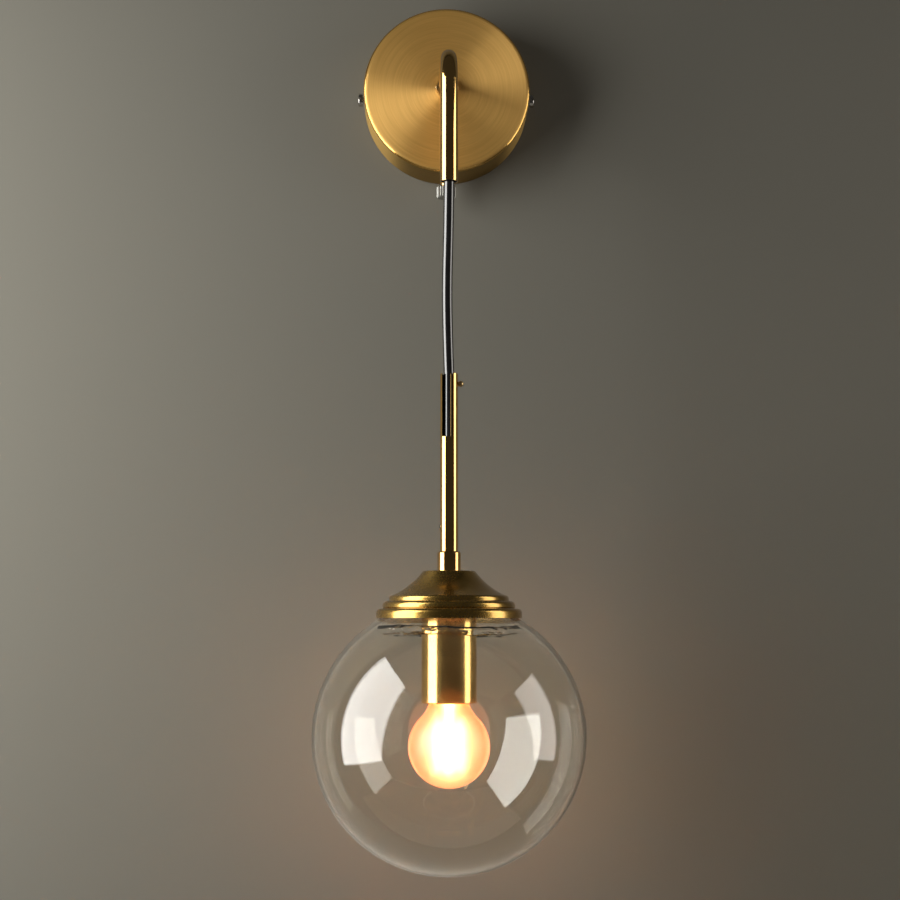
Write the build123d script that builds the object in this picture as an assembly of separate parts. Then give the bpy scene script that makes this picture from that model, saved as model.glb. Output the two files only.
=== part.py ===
from build123d import *
import os
from math import cos, pi, radians, sin, sqrt

# Wall sconce. A bent brass tube on a round canopy ends in a cord, and the cord carries a slotted brass
# stem, a stepped cap and a clear glass globe around a small globe lamp.
# Millimetres. The origin is the centre of the canopy's back, on the wall. +Z is up, the wall is the plane
# y = 0 and the room is on the -Y side. Angles are degrees.

# Clearances
slip_gap = 0.1        # between pieces that slide together once, such as a bush in its tube
thread_gap = 0.05     # between a screw and its tapped hole
running_gap = 0.3     # between pieces that move past each other
shaft_gap = 0.15      # between a turning shaft and its bore

# Canopy
canopy_diameter = 100
canopy_depth = 31
canopy_wall = 1
canopy_edge_radius = 2.5

# Canopy screws, one at each side
screw_diameter = 4
screw_head_diameter = 8
screw_head_height = 2.6
screw_slot_width = 1.2
screw_stand_off = 1
screw_setback = 8     # from the wall to the screw's axis
screw_past_tab = 2

# Wall bracket
bracket_thickness = 2
bracket_width = 18
bracket_tab_depth = 14
bracket_end_gap = 0.6
bracket_bend_radius = 1
slot_spacing = 60
slot_length = 12
slot_width = 4.5
cable_hole_diameter = 12
tongue_width = 12
tongue_margin = 5     # above the terminal block
tongue_corner_radius = 3
earth_screw_offset = 14.5
earth_screw_length = 1.8

# Arm
tube_wall = 1
arm_reach = 105
arm_bend_radius = 16
arm_drop = 74.2
arm_tail = 11         # tube behind the canopy's front
arm_nut_wall = 1
arm_nut_height = 5
lock_nut_wall = 2
lock_nut_height = 4
washer_band = 3
washer_thickness = 0.8
washer_teeth = 12
washer_tooth_depth = 1.6
nut_chamfer = 0.6
bush_wall = 0.8
bush_length = 12
bush_inset = 4

# Cord
cord_diameter = 6
cord_free_length = 107.9
cord_tail = 2         # sheath past the tube's end in the canopy
core_diameter = 2
sheath_wall = 0.4

# Leads in the canopy
core_straight = 4.7   # from the sheath's end to the first bend
core_bend = 2.8
lead_straight = 5
lead_bend = 5
lead_sideways = 4.5   # beside the arm's tail

# Terminal block
block_wall = 2
block_web = 0.4       # between the fixing screw and the poles
block_depth = 12
block_height = 14
block_lift = 6        # above the bracket's strip
block_round = 1
insert_diameter = 5
insert_bore = 3.2
insert_inset = 1
pole_screw_diameter = 2.5
pole_screw_spacing = 6.4
pole_screw_head_diameter = 3.6
pole_screw_head_height = 1.8
pole_screw_head_depth = 0.8
fixing_screw_diameter = 2.5
fixing_screw_head_diameter = 3.4
fixing_screw_head_height = 1.6

# Earth screw and its lug
earth_head_diameter = 7
earth_head_height = 2.5
lug_diameter = 8
lug_thickness = 0.8
lug_tab_width = 3
lug_tab_length = 2

# Turn switch under the canopy
switch_setback = 14
switch_width = 16
switch_depth = 13
switch_height = 16
switch_lift = 1.5     # from the canopy's inside to the switch's case
switch_boss_diameter = 9
switch_bush_diameter = 6
switch_shaft_diameter = 3
switch_shaft_length = 14
switch_terminal_spacing = 7
switch_nut_diameter = 7.4
switch_nut_height = 4.7
knob_diameter = 11.5
knob_height = 6.9
knob_flutes = 24
knob_flute_width = 0.9
knob_edge = 0.6

# Stem
stem_length = 103.8
stem_slot_width = 6
stem_slot_length = 35
stem_slot_turn = -15
clamp_drop = 5.5
clamp_diameter = 2.2
clamp_ball_diameter = 3.4
clamp_ball_sink = 0.3
grub_rise = 18.9
grub_diameter = 3
grub_proud = 0.2

# Collar
collar_wall = 1.5
collar_height = 10.8
collar_grip = 5.8     # length of stem inside the collar
collar_chamfer = 0.8

# Cap
cap_wall = 1
cap_top_radius = 14.3
cap_top_round = 1.2
cap_flank_radius = 30.6
cap_flank_drop = 13.3
cap_flank_sag = 1.3
upper_bead_step = 2.2
upper_bead_height = 3.2
upper_bead_round = 1.9
lower_bead_step = 3.5
lower_bead_height = 3.5
lower_bead_round = 2.4
cap_groove = 0.6
cap_rim_step = 3.7
cap_rim_height = 5.2
cap_rim_round = 2.4
cap_lugs = 3
cap_lug_width = 30
cap_lug_depth = 2.3
cap_lug_height = 1.2

# Nipple, nuts and gasket under the cap
nipple_cord_gap = 0.5
nipple_top_gap = 0.5
nipple_past_nut = 1
cap_washer_band = 4
cap_washer_thickness = 1
gasket_width = 1.8

# Glass globe
globe_diameter = 150
globe_wall = 1.8
globe_inner_drop = 0.5
globe_rim_gap = 0.6
globe_neck_wall = 2.4
globe_lip_width = 60
globe_lip_height = 1.5
globe_neck_above_lip = 0.2
globe_neck_round = 1

# Socket cup
cup_diameter = 30.4
cup_wall = 0.8
cup_length = 65.2
cup_bead_radius = 0.6
cup_gap = 0.1

# Lampholder
holder_gap = 0.5
holder_top = 4
holder_wall = 2.4
holder_cavity = 22.4
holder_floor = 4
holder_length = 54
tag_thickness = 0.6
tag_margin = 0.3
shell_wall = 0.4
shell_length = 23
shell_flange = 3.4
contact_radius = 3
contact_height = 2.1
contact_thickness = 0.5
contact_rivet_radius = 1.4
terminal_diameter = 5
terminal_height = 5
terminal_gap = 2
lead_drop = 3

# Lamp
bulb_length = 78
bulb_diameter = 44.8
bulb_glass_wall = 0.8
bulb_neck_radius = 9.5
bulb_neck_length = 24.5    # from the tip of the contact to the widening of the neck
bulb_cap_diameter = 13.7
bulb_cap_length = 17.5
bulb_cap_wall = 0.4
bulb_tip_radius = 3.2
bulb_tip_height = 1.6
bulb_insulator_height = 2.4
bulb_seal_gap = 0.1
mount_radius = 1.6
mount_flare_radius = 4.6
mount_flare_length = 12
filament_count = 4
filament_radius = 0.8
filament_length = 28
filament_ring_radius = 6.5
filament_wire_radius = 0.35
mount_past_filaments = 1


# Places that follow from the sizes
canopy_radius = canopy_diameter / 2
canopy_inside = canopy_radius - canopy_wall
cord_radius = cord_diameter / 2
core_radius = core_diameter / 2
core_offset = cord_radius - sheath_wall - core_radius
tube_bore = cord_radius + slip_gap + bush_wall + slip_gap
tube_radius = tube_bore + tube_wall
lock_nut_flats = 2 * (tube_radius + lock_nut_wall)
bracket_half = sqrt(canopy_inside**2 - (bracket_width / 2) ** 2) - bracket_end_gap
bracket_inside = bracket_half - bracket_thickness
outlet = Vector(0, -arm_reach, -arm_drop)
stem_top = outlet.Z - cord_free_length
stem_bottom = stem_top - stem_length
collar_top = stem_bottom + collar_grip
cap_top = collar_top - collar_height
cap_bottom = cap_top - cap_flank_drop - upper_bead_height - lower_bead_height - cap_groove - cap_rim_height
upper_bead_radius = cap_flank_radius + upper_bead_step
lower_bead_radius = upper_bead_radius + lower_bead_step
cap_rim_radius = lower_bead_radius + cap_rim_step
lip_wall = lower_bead_radius - cap_wall
lug_bottom = cap_bottom + cap_rim_height - cap_wall
lug_top = lug_bottom + cap_lug_height
neck_radius = lip_wall - cap_lug_depth - running_gap
lip_bottom = lug_top + running_gap
neck_top = lip_bottom + globe_lip_height + globe_neck_above_lip
globe_radius = globe_diameter / 2
globe_centre = cap_bottom - globe_rim_gap - sqrt(globe_radius**2 - (cap_rim_radius - cap_wall) ** 2)
cap_nut_bottom = cap_top - cap_wall - cap_washer_thickness - lock_nut_height
cup_top = cap_nut_bottom - cup_gap
cup_mouth = cup_top - cup_length
holder_roof = cup_top - cup_wall
holder_nut_top = holder_roof - holder_top - tag_thickness
nipple_bottom = holder_nut_top - lock_nut_height - nipple_past_nut
holder_radius = cup_diameter / 2 - cup_wall - holder_gap
cavity_radius = holder_radius - holder_wall
terminal_offset = cavity_radius - terminal_gap - terminal_diameter / 2
tag_radius = lock_nut_flats / sqrt(3) + tag_margin
shell_radius = bulb_cap_diameter / 2 + running_gap + shell_wall
cavity_floor = holder_roof - holder_top - holder_cavity
socket_roof = cavity_floor - holder_floor
bulb_tip = socket_roof - shell_wall - contact_height - running_gap
bulb_radius = bulb_diameter / 2
bulb_centre = bulb_tip - bulb_length + bulb_radius
filament_bottom = bulb_centre - filament_length / 2
filament_top = bulb_centre + filament_length / 2
tube_end = -canopy_depth + arm_tail
sheath_end = tube_end + cord_tail
block_bottom = bracket_width / 2 + block_lift
block_axis = -bracket_thickness - block_depth / 2
block_middle = block_bottom + block_height / 2
pole_offset = insert_diameter / 2 + 2 * slip_gap + block_web + fixing_screw_head_diameter / 2
block_width = 2 * (pole_offset + insert_diameter / 2 + block_wall)
insert_length = block_height - 2 * insert_inset
tongue_length = block_lift + block_height + tongue_margin
switch_bottom = -canopy_inside + switch_lift
switch_top = switch_bottom + switch_height
pendant = Pos(0, -arm_reach, 0)


# Shapes that several pieces share
def rod(radius, start, end):
    """Round bar between two points."""
    axis = Vector(end) - Vector(start)
    return extrude(Plane(origin=start, z_dir=axis) * Circle(radius), axis.length)


def pipe(outer, inner, start, end):
    """Round tube between two points."""
    return rod(outer, start, end) - rod(inner, start, end)


def turned_edges(edges):
    """Solid turned about Z from the edges of a closed outline, drawn as (radius, height)."""
    return revolve(Plane.XZ * make_face(edges), Axis.Z)


def turned(*corners):
    """Solid turned about Z from a closed outline of (radius, height) corners."""
    return turned_edges(Polyline(*corners, close=True).edges())


def hex_nut(flats, bore, start, end):
    """Hexagon nut with bevelled corners, two of which point along X when its axis is Y or Z."""
    axis = Vector(end) - Vector(start)
    plane = Plane(origin=start, x_dir=(1, 0, 0), z_dir=axis)
    section = RegularPolygon(flats / 2, 6, major_radius=False) - Circle(bore)
    corner = flats / sqrt(3)
    blank = rod(corner, start, end)
    bevelled = chamfer(blank.edges().filter_by(GeomType.CIRCLE), nut_chamfer)
    return extrude(plane * section, axis.length) & bevelled


def swept_rod(radius, points, bends):
    """Round bar along straight runs joined by arcs, one bend radius for each inner point."""
    path = FilletPolyline(*points, radius=bends)
    return sweep((path ^ 0) * Circle(radius), path=path)


def slotted_head(radius, height, start, direction):
    """Cheese head with a screwdriver slot that runs along Y, for a screw along X."""
    end = start + direction * height
    head = rod(radius, start, end)
    rounded = fillet(head.edges().filter_by(GeomType.CIRCLE).sort_by_distance(end)[0], height / 4)
    slot = Pos(*end) * Box(height, radius * 3, screw_slot_width)
    return rounded - slot


# Wall side
def make_canopy():
    front = -canopy_depth
    outer = rod(canopy_radius, (0, 0, 0), (0, front, 0))
    outer = fillet(outer.edges().group_by(Axis.Y)[0], canopy_edge_radius)
    inner = rod(canopy_inside, (0, 0, 0), (0, front + canopy_wall, 0))
    inner = fillet(inner.edges().group_by(Axis.Y)[0], canopy_edge_radius - canopy_wall)
    arm_hole = rod(tube_radius + slip_gap, (0, 0, 0), (0, front, 0))
    screw_hole_radius = screw_diameter / 2 + slip_gap
    screw_holes = rod(screw_hole_radius, (-canopy_radius, -screw_setback, 0),
                      (canopy_radius, -screw_setback, 0))
    switch_hole = rod(switch_bush_diameter / 2 + slip_gap, (0, -switch_setback, 0),
                      (0, -switch_setback, -canopy_radius))
    return outer - inner - arm_hole - screw_holes - switch_hole


def make_wall_bracket():
    half_width = bracket_width / 2
    strip = Pos(0, -bracket_tab_depth / 2, 0) * Box(2 * bracket_half, bracket_tab_depth, bracket_width)
    space = Pos(0, -bracket_thickness - bracket_tab_depth / 2, 0) * Box(
        2 * bracket_inside, bracket_tab_depth, bracket_width
    )
    bracket = strip - space
    upright = bracket.edges().filter_by(Axis.Z)
    bracket = fillet(upright.group_by(Axis.Y)[-1], bracket_bend_radius + bracket_thickness)
    corners = [(side * bracket_inside, -bracket_thickness, 0) for side in (-1, 1)]
    upright = bracket.edges().filter_by(Axis.Z)
    bracket = fillet([upright.sort_by_distance(corner)[0] for corner in corners], bracket_bend_radius)
    tongue = Pos(0, -bracket_thickness / 2, half_width + tongue_length / 2) * Box(
        tongue_width, bracket_thickness, tongue_length
    )
    tongue = fillet(tongue.edges().filter_by(Axis.Y).group_by(Axis.Z)[-1], tongue_corner_radius)
    bracket = bracket + tongue
    through = bracket_tab_depth
    for side in (-1, 1):
        slot = Plane.XZ * Pos(side * slot_spacing / 2, 0) * SlotOverall(slot_length, slot_width)
        bracket = bracket - extrude(slot, through, both=True)
    bracket = bracket - rod(cable_hole_diameter / 2, (0, through, 0), (0, -through, 0))
    tapped = screw_diameter / 2 + thread_gap
    bracket = bracket - rod(tapped, (-canopy_radius, -screw_setback, 0), (canopy_radius, -screw_setback, 0))
    bracket = bracket - rod(tapped, (earth_screw_offset, through, 0), (earth_screw_offset, -through, 0))
    fixing_hole = fixing_screw_diameter / 2 + thread_gap
    return bracket - rod(fixing_hole, (0, through, block_middle), (0, -through, block_middle))


def make_canopy_screws():
    screws = []
    inner_end = bracket_inside - screw_past_tab
    for side in (-1, 1):
        outward = Vector(side, 0, 0)
        seat = Vector(side * (canopy_radius + screw_stand_off), -screw_setback, 0)
        head = slotted_head(screw_head_diameter / 2, screw_head_height, seat, outward)
        screws.append(head + rod(screw_diameter / 2, (side * inner_end, -screw_setback, 0), seat))
    return screws


arm_points = [(0, tube_end, 0), (0, -arm_reach, 0), outlet]


def make_arm_tube():
    path = FilletPolyline(*arm_points, radius=arm_bend_radius)
    return sweep((path ^ 0) * (Circle(tube_radius) - Circle(tube_bore)), path=path)


def make_arm_nut():
    front = -canopy_depth
    flats = 2 * (tube_radius + arm_nut_wall)
    return hex_nut(flats, tube_radius + thread_gap, (0, front, 0), (0, front - arm_nut_height, 0))


def make_arm_lock_washer():
    start = -canopy_depth + canopy_wall
    outer = tube_radius + washer_band
    section = Circle(outer) - Circle(tube_radius + slip_gap)
    tooth_gap = Rectangle(2 * washer_tooth_depth, washer_tooth_depth)
    for place in PolarLocations(outer, washer_teeth):
        section = section - place * tooth_gap
    plane = Plane(origin=(0, start, 0), x_dir=(1, 0, 0), z_dir=(0, 1, 0))
    return extrude(plane * section, washer_thickness)


def make_arm_back_nut():
    start = -canopy_depth + canopy_wall + washer_thickness
    return hex_nut(lock_nut_flats, tube_radius + thread_gap, (0, start, 0), (0, start + lock_nut_height, 0))


def make_arm_outlet_bush():
    bottom = outlet + Vector(0, 0, bush_inset)
    top = bottom + Vector(0, 0, bush_length)
    return pipe(tube_bore - slip_gap, cord_radius + slip_gap, bottom, top)


def make_cord_in_arm():
    end = (0, -arm_reach, outlet.Z + cord_radius + running_gap)
    points = [(0, sheath_end, 0), (0, -arm_reach, 0), end]
    return swept_rod(cord_radius, points, arm_bend_radius)


def pole_screw_heights():
    return block_middle - pole_screw_spacing / 2, block_middle + pole_screw_spacing / 2


def make_terminal_block():
    block = Pos(0, block_axis, block_middle) * Box(block_width, block_depth, block_height)
    block = fillet(block.edges().filter_by(Axis.Z).group_by(Axis.Y)[0], block_round)
    front = block_axis - block_depth / 2
    for side in (-1, 1):
        x = side * pole_offset
        bore = rod(insert_diameter / 2 + slip_gap, (x, block_axis, block_bottom),
                   (x, block_axis, block_bottom + block_height))
        block = block - bore
        for height in pole_screw_heights():
            access_radius = pole_screw_head_diameter / 2 + slip_gap
            block = block - rod(access_radius, (x, front, height), (x, block_axis, height))
    head_hole = rod(fixing_screw_head_diameter / 2 + slip_gap, (0, front, block_middle),
                    (0, front + fixing_screw_head_height, block_middle))
    shank_hole = rod(fixing_screw_diameter / 2 + slip_gap, (0, front, block_middle), (0, 0, block_middle))
    return block - head_hole - shank_hole


def make_terminal_inserts():
    inserts = []
    low = block_bottom + insert_inset
    for side in (-1, 1):
        x = side * pole_offset
        insert = pipe(insert_diameter / 2, insert_bore / 2, (x, block_axis, low),
                      (x, block_axis, low + insert_length))
        for height in pole_screw_heights():
            tapped = rod(pole_screw_diameter / 2 + thread_gap, (x, block_axis - insert_diameter, height),
                         (x, block_axis, height))
            insert = insert - tapped
        inserts.append(insert)
    return inserts


def make_terminal_screws():
    screws = []
    front = block_axis - block_depth / 2 + pole_screw_head_depth
    seat = front + pole_screw_head_height
    tip = block_axis - core_radius - running_gap
    for side in (-1, 1):
        x = side * pole_offset
        for height in pole_screw_heights():
            head = rod(pole_screw_head_diameter / 2, (x, front, height), (x, seat, height))
            screws.append(head + rod(pole_screw_diameter / 2, (x, front, height), (x, tip, height)))
    return screws


def make_terminal_fixing_screw():
    front = block_axis - block_depth / 2
    head = rod(fixing_screw_head_diameter / 2, (0, front, block_middle),
               (0, front + fixing_screw_head_height, block_middle))
    return head + rod(fixing_screw_diameter / 2, (0, front, block_middle), (0, -slip_gap, block_middle))


def make_earth_screw():
    seat = -bracket_thickness - lug_thickness
    head = rod(earth_head_diameter / 2, (earth_screw_offset, seat, 0),
               (earth_screw_offset, seat - earth_head_height, 0))
    head = fillet(head.edges().group_by(Axis.Y)[0], earth_head_height / 3)
    shank = rod(screw_diameter / 2, (earth_screw_offset, seat, 0),
                (earth_screw_offset, -bracket_thickness + earth_screw_length, 0))
    return head + shank


def core_start(turn):
    """Place of one of three cores where the sheath ends in the canopy, from the top one anticlockwise."""
    angle = radians(90 + turn * 120)
    return core_offset * cos(angle), core_offset * sin(angle)


def make_neutral_lead():
    x, z = core_start(0)
    points = [
        (x, sheath_end, z),
        (x, sheath_end + core_straight, z),
        (pole_offset, block_axis, block_bottom - lead_straight),
        (pole_offset, block_axis, block_bottom + block_height / 4),
    ]
    return swept_rod(core_radius, points, [core_bend, lead_bend])


def make_live_lead():
    beside_arm = -tube_radius - lead_sideways
    switch_pole = -switch_terminal_spacing / 2
    points = [
        (-pole_offset, block_axis, block_bottom + block_height / 4),
        (-pole_offset, block_axis, block_bottom - lead_straight),
        (beside_arm, block_axis, lead_straight / 2),
        (beside_arm, block_axis, switch_top + 3 * lead_straight),
        (switch_pole, -switch_setback, switch_top + lead_straight),
        (switch_pole, -switch_setback, switch_top),
    ]
    return swept_rod(core_radius, points, lead_bend)


def make_switched_lead():
    x, z = core_start(1)
    switch_pole = switch_terminal_spacing / 2
    points = [
        (x, sheath_end, z),
        (x, sheath_end + core_straight, z),
        (switch_pole / 2, block_axis, switch_top / 2),
        (switch_pole, -switch_setback, switch_top + lead_straight),
        (switch_pole, -switch_setback, switch_top),
    ]
    return swept_rod(core_radius, points, [core_bend, lead_bend, lead_bend])


def make_earth_lead():
    x, z = core_start(2)
    lug_face = -bracket_thickness - lug_thickness
    lead_height = lug_face - core_radius / 2
    tab_end = earth_screw_offset - lug_diameter / 2 - lug_tab_length
    points = [
        (x, sheath_end, z),
        (x, sheath_end + core_straight, z),
        (tab_end - core_radius, lead_height, 0),
        (tab_end + lug_tab_length, lead_height, 0),
    ]
    lead = swept_rod(core_radius, points, core_bend)
    ring = rod(lug_diameter / 2, (earth_screw_offset, -bracket_thickness, 0),
               (earth_screw_offset, lug_face, 0))
    tab_length = lug_tab_length + lug_diameter / 2
    tab = Pos(tab_end + tab_length / 2, lug_face + lug_thickness / 2, 0) * Box(
        tab_length, lug_thickness, lug_tab_width
    )
    hole = rod(screw_diameter / 2 + slip_gap, (earth_screw_offset, 0, 0), (earth_screw_offset, lug_face, 0))
    return lead + (ring + tab - hole)


def make_switch_body():
    middle = (switch_bottom + switch_top) / 2
    case = Pos(0, -switch_setback, middle) * Box(switch_width, switch_depth, switch_height)
    case = fillet(case.edges().filter_by(Axis.Z), block_round)
    boss_radius = switch_boss_diameter / 2
    boss_end = -sqrt(canopy_inside**2 - boss_radius**2) + thread_gap
    boss = rod(boss_radius, (0, -switch_setback, switch_bottom), (0, -switch_setback, boss_end))
    bush_end = -canopy_radius - switch_nut_height
    bush = rod(switch_bush_diameter / 2, (0, -switch_setback, switch_bottom), (0, -switch_setback, bush_end))
    bore_top = bush_end + switch_shaft_length
    bore = rod(switch_shaft_diameter / 2 + shaft_gap, (0, -switch_setback, bore_top),
               (0, -switch_setback, bush_end))
    return case + boss + bush - bore


def make_switch_nut():
    return pipe(switch_nut_diameter / 2, switch_bush_diameter / 2 + thread_gap,
                (0, -switch_setback, -canopy_radius),
                (0, -switch_setback, -canopy_radius - switch_nut_height))


def make_switch_knob():
    top = -canopy_radius - switch_nut_height - running_gap
    section = Circle(knob_diameter / 2)
    flute = Rectangle(knob_flute_width, knob_flute_width, rotation=45)
    for place in PolarLocations(knob_diameter / 2, knob_flutes):
        section = section - place * flute
    plane = Plane(origin=(0, -switch_setback, top), x_dir=(1, 0, 0), z_dir=(0, 0, -1))
    fluted = extrude(plane * section, knob_height)
    blank = rod(knob_diameter / 2, (0, -switch_setback, top), (0, -switch_setback, top - knob_height))
    blank = chamfer(blank.edges().filter_by(GeomType.CIRCLE), knob_edge)
    shaft_top = top + switch_shaft_length - 2 * running_gap
    shaft = rod(switch_shaft_diameter / 2, (0, -switch_setback, top), (0, -switch_setback, shaft_top))
    return (fluted & blank) + shaft


# Cord between the arm and the stem
def make_cord_bend():
    return Pos(outlet) * Sphere(cord_radius)


def make_cord_hang():
    run = rod(cord_radius, outlet, (0, -arm_reach, stem_top))
    return run - Pos(outlet) * Sphere(cord_radius + running_gap)


def make_cord_in_stem():
    return rod(cord_radius, (0, -arm_reach, stem_top), (0, -arm_reach, nipple_bottom - slip_gap))


# Stem and cap
def make_stem_tube():
    tube = pipe(tube_radius, tube_bore, (0, 0, stem_top), (0, 0, stem_bottom))
    slot_middle = stem_top - stem_slot_length / 2
    slot = Pos(0, -tube_radius, slot_middle) * Box(stem_slot_width, 2 * tube_radius, stem_slot_length)
    tube = tube - Rot(0, 0, stem_slot_turn) * slot
    clamp_height = stem_top - clamp_drop
    clamp_hole = rod(clamp_diameter / 2 + shaft_gap, (0, 0, clamp_height),
                     (2 * tube_radius, 0, clamp_height))
    grub_height = stem_bottom + grub_rise
    grub_hole = rod(grub_diameter / 2 + thread_gap, (0, 0, grub_height),
                    (-2 * tube_radius, 0, grub_height))
    return pendant * (tube - clamp_hole - grub_hole)


def make_clamp_screw():
    height = stem_top - clamp_drop
    ball_centre = tube_radius + clamp_ball_diameter / 2 - clamp_ball_sink
    shank = rod(clamp_diameter / 2, (cord_radius + running_gap, 0, height), (ball_centre, 0, height))
    return pendant * (shank + Pos(ball_centre, 0, height) * Sphere(clamp_ball_diameter / 2))


def make_stem_grub_screw():
    height = stem_bottom + grub_rise
    outer_end = (-tube_radius - grub_proud, 0, height)
    screw = rod(grub_diameter / 2, (-cord_radius - slip_gap, 0, height), outer_end)
    socket = rod(grub_diameter / 4, (-tube_radius, 0, height), outer_end)
    return pendant * (screw - socket)


def make_stem_collar():
    outer = tube_radius + collar_wall
    collar = pipe(outer, tube_radius + thread_gap, (0, 0, collar_top), (0, 0, cap_top))
    outer_top = collar.edges().filter_by(GeomType.CIRCLE).group_by(Axis.Z)[-1].sort_by(SortBy.RADIUS)[-1]
    return pendant * chamfer(outer_top, collar_chamfer)


def make_cap():
    flank_foot = cap_top - cap_flank_drop
    flank_ceiling = flank_foot - cap_wall
    upper_foot = flank_foot - upper_bead_height
    upper_ceiling = upper_foot - cap_wall
    upper_inside = upper_bead_radius - cap_wall
    lower_foot = upper_foot - lower_bead_height
    rim_top = cap_bottom + cap_rim_height
    rim_inside = cap_rim_radius - cap_wall
    bore = tube_radius + slip_gap
    flank = SagittaArc((cap_top_radius, cap_top), (cap_flank_radius, flank_foot), -cap_flank_sag)
    steps = FilletPolyline(
        (cap_flank_radius, flank_foot),
        (upper_bead_radius, flank_foot),
        (upper_bead_radius, upper_foot),
        (lower_bead_radius, upper_foot),
        (lower_bead_radius, lower_foot),
        (lower_bead_radius - cap_groove, rim_top),
        (cap_rim_radius, rim_top),
        (cap_rim_radius, cap_bottom),
        radius=[
            upper_bead_round,
            cap_groove / 2,
            lower_bead_round,
            cap_groove / 2,
            cap_groove / 4,
            cap_rim_round,
        ],
    )
    rim_edge = Line((cap_rim_radius, cap_bottom), (rim_inside, cap_bottom))
    inside_rim = FilletPolyline(
        (rim_inside, cap_bottom),
        (rim_inside, lug_bottom),
        (lip_wall, lug_bottom),
        radius=cap_rim_round - cap_wall,
    )
    inside_lower = FilletPolyline(
        (lip_wall, lug_bottom),
        (lip_wall, upper_ceiling),
        (upper_inside, upper_ceiling),
        radius=lower_bead_round - cap_wall,
    )
    inside_upper = Polyline(
        (upper_inside, upper_ceiling),
        (upper_inside, flank_ceiling),
        (cap_flank_radius - cap_wall, flank_ceiling),
    )
    inside_flank = SagittaArc(
        (cap_flank_radius - cap_wall, flank_ceiling),
        (cap_top_radius - cap_wall, cap_top - cap_wall),
        cap_flank_sag,
    )
    crown = Polyline(
        (cap_top_radius - cap_wall, cap_top - cap_wall),
        (bore, cap_top - cap_wall),
        (bore, cap_top),
        (cap_top_radius, cap_top),
    )
    outside = [flank, *steps.edges(), rim_edge]
    inside = [*inside_rim.edges(), *inside_lower.edges(), *inside_upper.edges(), inside_flank]
    shell = turned_edges([*outside, *inside, *crown.edges()])
    crown_edge = shell.edges().filter_by(GeomType.CIRCLE).group_by(Axis.Z)[-1].sort_by(SortBy.RADIUS)[-1]
    lugs = ring_segments(lip_wall - cap_lug_depth, lip_wall, lug_bottom, lug_top, cap_lug_width)
    return pendant * (fillet(crown_edge, cap_top_round) + lugs)


def ring_segments(inner, outer, bottom, top, width):
    """One block of a ring at each of the cap's locking places."""
    corners = [(inner, 0, bottom), (outer, 0, bottom), (outer, 0, top), (inner, 0, top)]
    outline = make_face(Polyline(*corners, close=True))
    block = Rot(0, 0, -width / 2) * revolve(outline, Axis.Z, width)
    return [Rot(0, 0, turn * 360 / cap_lugs) * block for turn in range(cap_lugs)]


def make_cap_nipple():
    top = stem_bottom - nipple_top_gap
    return pendant * pipe(tube_radius, cord_radius + nipple_cord_gap, (0, 0, top), (0, 0, nipple_bottom))


def make_cap_washer():
    top = cap_top - cap_wall
    return pendant * pipe(tube_radius + cap_washer_band, tube_radius + slip_gap, (0, 0, top),
                          (0, 0, top - cap_washer_thickness))


def make_cap_nut():
    top = cap_top - cap_wall - cap_washer_thickness
    return pendant * hex_nut(lock_nut_flats, tube_radius + thread_gap, (0, 0, top), (0, 0, cap_nut_bottom))


def make_globe_gasket():
    outer = upper_bead_radius - cap_wall - slip_gap
    top = cap_top - cap_flank_drop - cap_wall
    return pendant * pipe(outer, outer - gasket_width, (0, 0, top), (0, 0, neck_top + running_gap))


# Socket cup and lampholder
def make_socket_cup():
    outer = cup_diameter / 2
    cup = turned((tube_radius + slip_gap, cup_top), (outer, cup_top), (outer, cup_mouth),
                 (outer - cup_wall, cup_mouth), (outer - cup_wall, cup_top - cup_wall),
                 (tube_radius + slip_gap, cup_top - cup_wall))
    rim = cup.edges().filter_by(GeomType.CIRCLE).group_by(Axis.Z)[-1].sort_by(SortBy.RADIUS)[-1]
    cup = fillet(rim, cup_wall)
    bead = Pos(0, 0, cup_mouth) * Torus(outer - cup_bead_radius, cup_bead_radius)
    return pendant * (cup + bead)


def make_lampholder_body():
    bore = tube_radius + slip_gap
    socket = shell_radius + slip_gap
    bottom = holder_roof - holder_length
    cavity_roof = holder_roof - holder_top
    rivet = contact_rivet_radius + slip_gap
    return pendant * turned(
        (bore, holder_roof), (holder_radius, holder_roof), (holder_radius, bottom), (socket, bottom),
        (socket, socket_roof), (rivet, socket_roof), (rivet, cavity_floor), (cavity_radius, cavity_floor),
        (cavity_radius, cavity_roof), (bore, cavity_roof),
    )


def make_holder_earth_tag():
    top = holder_roof - holder_top
    return pendant * pipe(tag_radius, tube_radius + slip_gap, (0, 0, top), (0, 0, top - tag_thickness))


def make_holder_nut():
    return pendant * hex_nut(lock_nut_flats, tube_radius + thread_gap, (0, 0, holder_nut_top),
                             (0, 0, holder_nut_top - lock_nut_height))


def make_lampholder_shell():
    inner = shell_radius - shell_wall
    eye = shell_radius - shell_flange
    mouth = socket_roof - shell_length
    return pendant * turned((eye, socket_roof), (shell_radius, socket_roof), (shell_radius, mouth),
                            (inner, mouth), (inner, socket_roof - shell_wall),
                            (eye, socket_roof - shell_wall))


def make_lampholder_contact():
    bottom = socket_roof - shell_wall - contact_height
    return pendant * turned((0, cavity_floor), (contact_rivet_radius, cavity_floor),
                            (contact_rivet_radius, bottom + contact_thickness),
                            (contact_radius, bottom + contact_thickness), (contact_radius, bottom),
                            (0, bottom))


def make_holder_terminals():
    top = cavity_floor + terminal_height
    return [
        pendant * rod(terminal_diameter / 2, (side * terminal_offset, 0, cavity_floor),
                      (side * terminal_offset, 0, top))
        for side in (-1, 1)
    ]


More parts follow.
